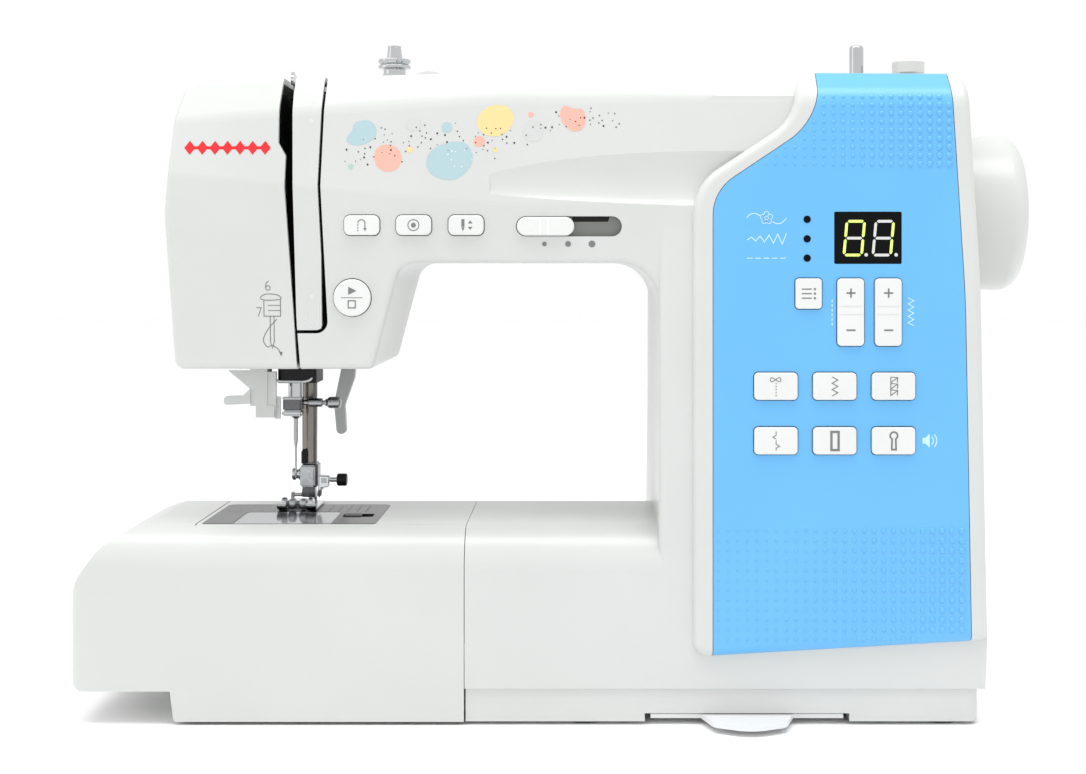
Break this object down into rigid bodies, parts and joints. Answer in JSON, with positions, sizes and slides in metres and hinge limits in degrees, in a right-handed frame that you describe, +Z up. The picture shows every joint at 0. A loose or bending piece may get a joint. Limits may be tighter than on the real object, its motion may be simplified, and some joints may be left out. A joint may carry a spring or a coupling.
{
  "type": "sewing machine",
  "caption": "Free-arm domestic sewing machine with push-button stitch panel, slide-off accessory tray, needle threader and handwheel.",
  "frame": {"origin": "on the table, under the middle of the machine", "axes": "+X to the operator's right along the arm, +Y away from the operator, +Z up"},
  "size_m": [0.4158, 0.1761, 0.2941],
  "materials": {
    "casing_white": "fine satin",
    "panel_blue": "gloss",
    "control_white": "satin",
    "threader_white": "satin",
    "lifter_grey": "satin",
    "card_grey": "satin",
    "black_plastic": "satin",
    "display_black": "gloss",
    "clear_cover": "clear",
    "bobbin_clear": "satin",
    "steel": "brushed",
    "chrome": "polished",
    "casting": "as cast",
    "motor_dark": "satin",
    "rubber": "matt"
  },
  "bodies": {
    "casing": {"front_cover": "casing_white", "rear_cover": "casing_white", "face_cover": "casing_white", "thread_path_cover": "casing_white", "top_cover": "casing_white", "base_pan": "casing_white", "free_arm_cover": "casing_white", "control_panel": "panel_blue", "thread_path_liner": "black_plastic", "needle_bar_guide": "black_plastic", "power_inlet": "black_plastic", "bobbin_case": "black_plastic", "display_window": "display_black", "needle_plate": "steel", "cover_screws": "steel", "winder_thread_guide": "chrome", "spool_pin": "chrome", "cast_frame": "casting", "motor": "motor_dark", "rubber_feet": "rubber", "drive_belts": "rubber"},
    "handwheel": {"handwheel": "casing_white", "main_shaft": "steel"},
    "lower_shaft": {"lower_shaft": "steel"},
    "rotary_hook": {"rotary_hook": "steel"},
    "motor_pulley": {"motor_pulley": "steel"},
    "needle_bar": {"needle_bar": "chrome", "needle_clamp": "steel", "needle": "steel"},
    "needle_clamp_screw": {"needle_clamp_screw": "steel"},
    "take_up_lever": {"take_up_lever": "chrome"},
    "presser_bar": {"presser_bar": "chrome", "foot_holder": "steel"},
    "foot_screw": {"foot_screw": "black_plastic"},
    "presser_foot": {"presser_foot": "chrome"},
    "presser_lifter": {"presser_lifter": "lifter_grey"},
    "needle_threader": {"needle_threader": "threader_white"},
    "speed_slider": {"speed_slider": "control_white"},
    "start_stop_button": {"start_stop_button": "control_white"},
    "reverse_button": {"reverse_button": "control_white"},
    "lock_stitch_button": {"lock_stitch_button": "control_white"},
    "needle_position_button": {"needle_position_button": "control_white"},
    "mode_key": {"mode_key": "control_white"},
    "key_straight": {"key_straight": "control_white"},
    "key_zigzag": {"key_zigzag": "control_white"},
    "key_overlock": {"key_overlock": "control_white"},
    "key_blind_hem": {"key_blind_hem": "control_white"},
    "key_buttonhole": {"key_buttonhole": "control_white"},
    "key_keyhole": {"key_keyhole": "control_white"},
    "length_rocker": {"length_rocker": "control_white"},
    "width_rocker": {"width_rocker": "control_white"},
    "bobbin_cover": {"bobbin_cover": "clear_cover"},
    "cover_latch": {"cover_latch": "black_plastic"},
    "stitch_card": {"stitch_card": "card_grey"},
    "accessory_tray": {"accessory_tray": "casing_white"},
    "tension_dial": {"tension_dial": "control_white"},
    "winder_spindle": {"winder_spindle": "chrome"},
    "power_switch": {"power_switch": "black_plastic"},
    "feed_dogs": {"feed_dogs": "steel"},
    "bobbin": {"bobbin": "bobbin_clear"}
  },
  "joints": [
    {"name": "handwheel_turn", "type": "hinge", "parent": "casing", "child": "handwheel", "pos_m": [0.17, -0.007, 0.2181], "axis": [1, 0, 0], "continuous": true},
    {"name": "lower_shaft_turn", "type": "hinge", "parent": "casing", "child": "lower_shaft", "pos_m": [0, -0.007, 0.052], "axis": [1, 0, 0], "continuous": true},
    {"name": "hook_turn", "type": "hinge", "parent": "casing", "child": "rotary_hook", "pos_m": [-0.1224, -0.028, 0.063], "axis": [0, 0, 1], "continuous": true},
    {"name": "motor_turn", "type": "hinge", "parent": "casing", "child": "motor_pulley", "pos_m": [0.142, 0.044, 0.078], "axis": [1, 0, 0], "continuous": true},
    {"name": "bobbin_turn", "type": "hinge", "parent": "casing", "child": "bobbin", "pos_m": [-0.1224, -0.028, 0.07], "axis": [0, 0, 1], "continuous": true},
    {"name": "needle_bar_slide", "type": "slide", "parent": "casing", "child": "needle_bar", "axis": [0, 0, 1], "range_m": [-0.03, 0]},
    {"name": "take_up_turn", "type": "hinge", "parent": "casing", "child": "take_up_lever", "pos_m": [-0.1174, -0.002, 0.238], "axis": [1, 0, 0], "range_deg": [0, 44]},
    {"name": "clamp_screw_turn", "type": "hinge", "parent": "needle_bar", "child": "needle_clamp_screw", "pos_m": [-0.112, -0.007, 0.1313], "axis": [1, 0, 0], "range_deg": [-180, 180]},
    {"name": "presser_bar_slide", "type": "slide", "parent": "casing", "child": "presser_bar", "axis": [0, 0, 1], "range_m": [0, 0.0055]},
    {"name": "lifter_turn", "type": "hinge", "parent": "casing", "child": "presser_lifter", "pos_m": [-0.1025, 0.017, 0.1465], "axis": [0, -1, 0], "range_deg": [0, 60]},
    {"name": "foot_screw_turn", "type": "hinge", "parent": "presser_bar", "child": "foot_screw", "pos_m": [-0.122, 0.003, 0.0974], "axis": [1, 0, 0], "range_deg": [-180, 180]},
    {"name": "foot_tilt", "type": "hinge", "parent": "presser_bar", "child": "presser_foot", "pos_m": [-0.12, 0.0046, 0.08765], "axis": [-1, 0, 0], "range_deg": [0, 10]},
    {"name": "threader_slide", "type": "slide", "parent": "casing", "child": "needle_threader", "axis": [0, 0, 1], "range_m": [-0.022, 0], "stiffness_N_per_m": 60, "springref_m": 0.006},
    {"name": "speed_slide", "type": "slide", "parent": "casing", "child": "speed_slider", "axis": [1, 0, 0], "range_m": [0, 0.0195]},
    {"name": "start_stop_press", "type": "slide", "parent": "casing", "child": "start_stop_button", "axis": [0, 1, 0], "range_m": [0, 0.0008], "stiffness_N_per_m": 400},
    {"name": "reverse_press", "type": "slide", "parent": "casing", "child": "reverse_button", "axis": [0, 1, 0], "range_m": [0, 0.0008], "stiffness_N_per_m": 400},
    {"name": "lock_stitch_press", "type": "slide", "parent": "casing", "child": "lock_stitch_button", "axis": [0, 1, 0], "range_m": [0, 0.0008], "stiffness_N_per_m": 400},
    {"name": "needle_position_press", "type": "slide", "parent": "casing", "child": "needle_position_button", "axis": [0, 1, 0], "range_m": [0, 0.0008], "stiffness_N_per_m": 400},
    {"name": "mode_press", "type": "slide", "parent": "casing", "child": "mode_key", "axis": [0, 1, 0], "range_m": [0, 0.0008], "stiffness_N_per_m": 400},
    {"name": "key_straight_press", "type": "slide", "parent": "casing", "child": "key_straight", "axis": [0, 1, 0], "range_m": [0, 0.0008], "stiffness_N_per_m": 400},
    {"name": "key_zigzag_press", "type": "slide", "parent": "casing", "child": "key_zigzag", "axis": [0, 1, 0], "range_m": [0, 0.0008], "stiffness_N_per_m": 400},
    {"name": "key_overlock_press", "type": "slide", "parent": "casing", "child": "key_overlock", "axis": [0, 1, 0], "range_m": [0, 0.0008], "stiffness_N_per_m": 400},
    {"name": "key_blind_hem_press", "type": "slide", "parent": "casing", "child": "key_blind_hem", "axis": [0, 1, 0], "range_m": [0, 0.0008], "stiffness_N_per_m": 400},
    {"name": "key_buttonhole_press", "type": "slide", "parent": "casing", "child": "key_buttonhole", "axis": [0, 1, 0], "range_m": [0, 0.0008], "stiffness_N_per_m": 400},
    {"name": "key_keyhole_press", "type": "slide", "parent": "casing", "child": "key_keyhole", "axis": [0, 1, 0], "range_m": [0, 0.0008], "stiffness_N_per_m": 400},
    {"name": "length_rock", "type": "hinge", "parent": "casing", "child": "length_rocker", "pos_m": [0.1198, -0.07, 0.1745], "axis": [1, 0, 0], "range_deg": [-3, 3], "stiffness_Nm_per_rad": 0.08},
    {"name": "width_rock", "type": "hinge", "parent": "casing", "child": "width_rocker", "pos_m": [0.1356, -0.07, 0.1745], "axis": [1, 0, 0], "range_deg": [-3, 3], "stiffness_Nm_per_rad": 0.08},
    {"name": "bobbin_cover_lift", "type": "slide", "parent": "casing", "child": "bobbin_cover", "axis": [0, 0, 1], "range_m": [0, 0.018]},
    {"name": "latch_slide", "type": "slide", "parent": "casing", "child": "cover_latch", "axis": [1, 0, 0], "range_m": [0, 0.003], "stiffness_N_per_m": 150},
    {"name": "stitch_card_slide", "type": "slide", "parent": "casing", "child": "stitch_card", "axis": [0, -1, 0], "range_m": [0, 0.085]},
    {"name": "tray_slide", "type": "slide", "parent": "casing", "child": "accessory_tray", "axis": [-1, 0, 0], "range_m": [0, 0.13]},
    {"name": "tension_turn", "type": "hinge", "parent": "casing", "child": "tension_dial", "pos_m": [-0.0613, -0.027, 0.2686], "axis": [0, 1, 0], "range_deg": [-140, 140]},
    {"name": "winder_shift", "type": "slide", "parent": "casing", "child": "winder_spindle", "axis": [1, 0, 0], "range_m": [0, 0.006]},
    {"name": "power_rock", "type": "hinge", "parent": "casing", "child": "power_switch", "pos_m": [0.1752, 0.032, 0.065], "axis": [0, 1, 0], "range_deg": [0, 6]},
    {"name": "feed_slide", "type": "slide", "parent": "casing", "child": "feed_dogs", "axis": [0, 1, 0], "range_m": [-0.002, 0.002]}
  ],
  "couplings": [
    {"joint": "lower_shaft_turn", "follows": "handwheel_turn", "ratio": 1},
    {"joint": "hook_turn", "follows": "handwheel_turn", "ratio": -2},
    {"joint": "motor_turn", "follows": "handwheel_turn", "ratio": 4},
    {"joint": "take_up_turn", "follows": "needle_bar_slide", "rad_per_m": -25.54},
    {"joint": "lifter_turn", "follows": "presser_bar_slide", "rad_per_m": 190.08}
  ]
}
